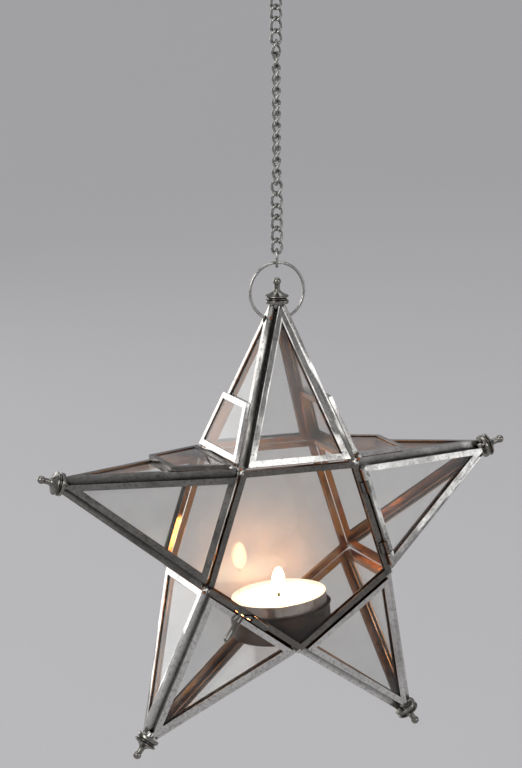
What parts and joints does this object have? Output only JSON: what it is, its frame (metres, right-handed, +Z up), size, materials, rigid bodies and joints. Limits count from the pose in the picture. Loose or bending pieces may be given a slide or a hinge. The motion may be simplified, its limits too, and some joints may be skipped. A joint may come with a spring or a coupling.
{
  "type": "hanging star lantern",
  "caption": "Five-pointed glass star lantern in soldered metal channels, with a hinged pentagon door and a candle cup inside, hung from a hook by a curb chain and a ring.",
  "frame": {"origin": "top of the hook's bow, on the line of the chain", "axes": "+Z up, +X to the right seen from the front, +Y to the star's back"},
  "size_m": [0.198, 0.0495, 0.3299],
  "materials": {
    "nickel_silver": "aged silvery plate over soldered channel, darkened in the corners",
    "dark_metal": "dark antique metal",
    "clear_glass": "clear, faintly smoky and wavy",
    "thin_aluminium": "bright drawn foil",
    "wax": "smooth candle wax",
    "cotton": "charred wick"
  },
  "bodies": {
    "hook": {"hanging_hook": "nickel_silver"},
    "chain_1": {"chain_links_1": "nickel_silver"},
    "chain_2": {"chain_links_2": "nickel_silver"},
    "chain_3": {"chain_links_3": "nickel_silver"},
    "chain_4": {"chain_links_4": "nickel_silver"},
    "chain_5": {"chain_links_5": "nickel_silver"},
    "chain_6": {"chain_links_6": "nickel_silver"},
    "chain_7": {"chain_links_7": "nickel_silver"},
    "chain_8": {"chain_links_8": "nickel_silver"},
    "joining": {"joining_link": "nickel_silver"},
    "ring": {"hanging_ring": "nickel_silver"},
    "door": {"door_frame": "nickel_silver", "door_pane": "clear_glass"},
    "pull": {"door_pull_loop": "nickel_silver"},
    "tealight": {"tealight_cup": "thin_aluminium", "tealight_wax": "wax", "tealight_wick": "cotton"},
    "star": {"back_frame": "nickel_silver", "back_pane": "clear_glass", "candle_cup": "dark_metal", "door_hinge_pin": "nickel_silver", "left_finial": "nickel_silver", "left_point_back_pane": "clear_glass", "left_point_frame": "nickel_silver", "left_point_front_pane": "clear_glass", "left_point_lower_pane": "clear_glass", "left_point_upper_hood_frame": "nickel_silver", "left_point_upper_hood_pane": "clear_glass", "left_point_upper_pane": "clear_glass", "lower_left_finial": "nickel_silver", "lower_left_point_back_pane": "clear_glass", "lower_left_point_frame": "nickel_silver", "lower_left_point_front_pane": "clear_glass", "lower_left_point_inner_pane": "clear_glass", "lower_left_point_outer_pane": "clear_glass", "lower_right_finial": "nickel_silver", "lower_right_point_back_pane": "clear_glass", "lower_right_point_frame": "nickel_silver", "lower_right_point_front_pane": "clear_glass", "lower_right_point_inner_pane": "clear_glass", "lower_right_point_outer_pane": "clear_glass", "right_finial": "nickel_silver", "right_point_back_pane": "clear_glass", "right_point_frame": "nickel_silver", "right_point_front_pane": "clear_glass", "right_point_lower_pane": "clear_glass", "right_point_upper_hood_frame": "nickel_silver", "right_point_upper_hood_pane": "clear_glass", "right_point_upper_pane": "clear_glass", "top_finial": "nickel_silver", "top_point_back_pane": "clear_glass", "top_point_frame": "nickel_silver", "top_point_front_pane": "clear_glass", "top_point_left_hood_frame": "nickel_silver", "top_point_left_hood_pane": "clear_glass", "top_point_left_pane": "clear_glass", "top_point_right_hood_frame": "nickel_silver", "top_point_right_hood_pane": "clear_glass", "top_point_right_pane": "clear_glass"}
  },
  "joints": [
    {"name": "chain_1_swing", "type": "hinge", "parent": "hook", "child": "chain_1", "pos_m": [0, 0, -0.0244], "axis": [0.7071, -0.7071, 0], "range_deg": [-15, 15]},
    {"name": "chain_2_swing", "type": "hinge", "parent": "chain_1", "child": "chain_2", "pos_m": [0, 0, -0.0361], "axis": [0.7071, 0.7071, 0], "range_deg": [-25, 25]},
    {"name": "chain_3_swing", "type": "hinge", "parent": "chain_2", "child": "chain_3", "pos_m": [0, 0, -0.0511], "axis": [0.7375, -0.6753, 0], "range_deg": [-25, 25]},
    {"name": "chain_4_swing", "type": "hinge", "parent": "chain_3", "child": "chain_4", "pos_m": [0, 0, -0.0631], "axis": [-0.7071, 0.7071, 0], "range_deg": [-25, 25]},
    {"name": "chain_5_swing", "type": "hinge", "parent": "chain_4", "child": "chain_5", "pos_m": [0, 0, -0.0781], "axis": [0.7071, 0.7071, 0], "range_deg": [-25, 25]},
    {"name": "chain_6_swing", "type": "hinge", "parent": "chain_5", "child": "chain_6", "pos_m": [0, 0, -0.0901], "axis": [-0.7071, 0.7071, 0], "range_deg": [-25, 25]},
    {"name": "chain_7_swing", "type": "hinge", "parent": "chain_6", "child": "chain_7", "pos_m": [0, 0, -0.1051], "axis": [0.6202, 0.7844, 0], "range_deg": [-25, 25]},
    {"name": "chain_8_swing", "type": "hinge", "parent": "chain_7", "child": "chain_8", "pos_m": [0, 0, -0.1171], "axis": [-0.7071, -0.7071, 0], "range_deg": [-25, 25]},
    {"name": "joining_link_swing", "type": "hinge", "parent": "chain_8", "child": "joining", "pos_m": [0, 0, -0.1321], "axis": [-0.7071, 0.7071, 0], "range_deg": [-25, 25]},
    {"name": "ring_swing", "type": "hinge", "parent": "joining", "child": "ring", "pos_m": [0, 0, -0.1372], "axis": [0.3827, 0.9239, 0], "range_deg": [-40, 40]},
    {"name": "star_swing", "type": "hinge", "parent": "ring", "child": "star", "pos_m": [0, 0, -0.15756], "axis": [1, 0, 0], "range_deg": [-75, 75]},
    {"name": "door_hinge", "type": "hinge", "parent": "star", "child": "door", "pos_m": [0.03216, -0.0246, -0.23505], "axis": [-0.309, 0, 0.9511], "range_deg": [0, 140]},
    {"name": "pull_loop_swing", "type": "hinge", "parent": "door", "child": "pull", "pos_m": [-0.01911, -0.02465, -0.2718], "axis": [-0.809, 0, 0.5878], "range_deg": [-15, 175]},
    {"name": "tealight_lift", "type": "slide", "parent": "star", "child": "tealight", "axis": [-0.1011, 0, 0.9949], "range_m": [0, 0.014]}
  ]
}
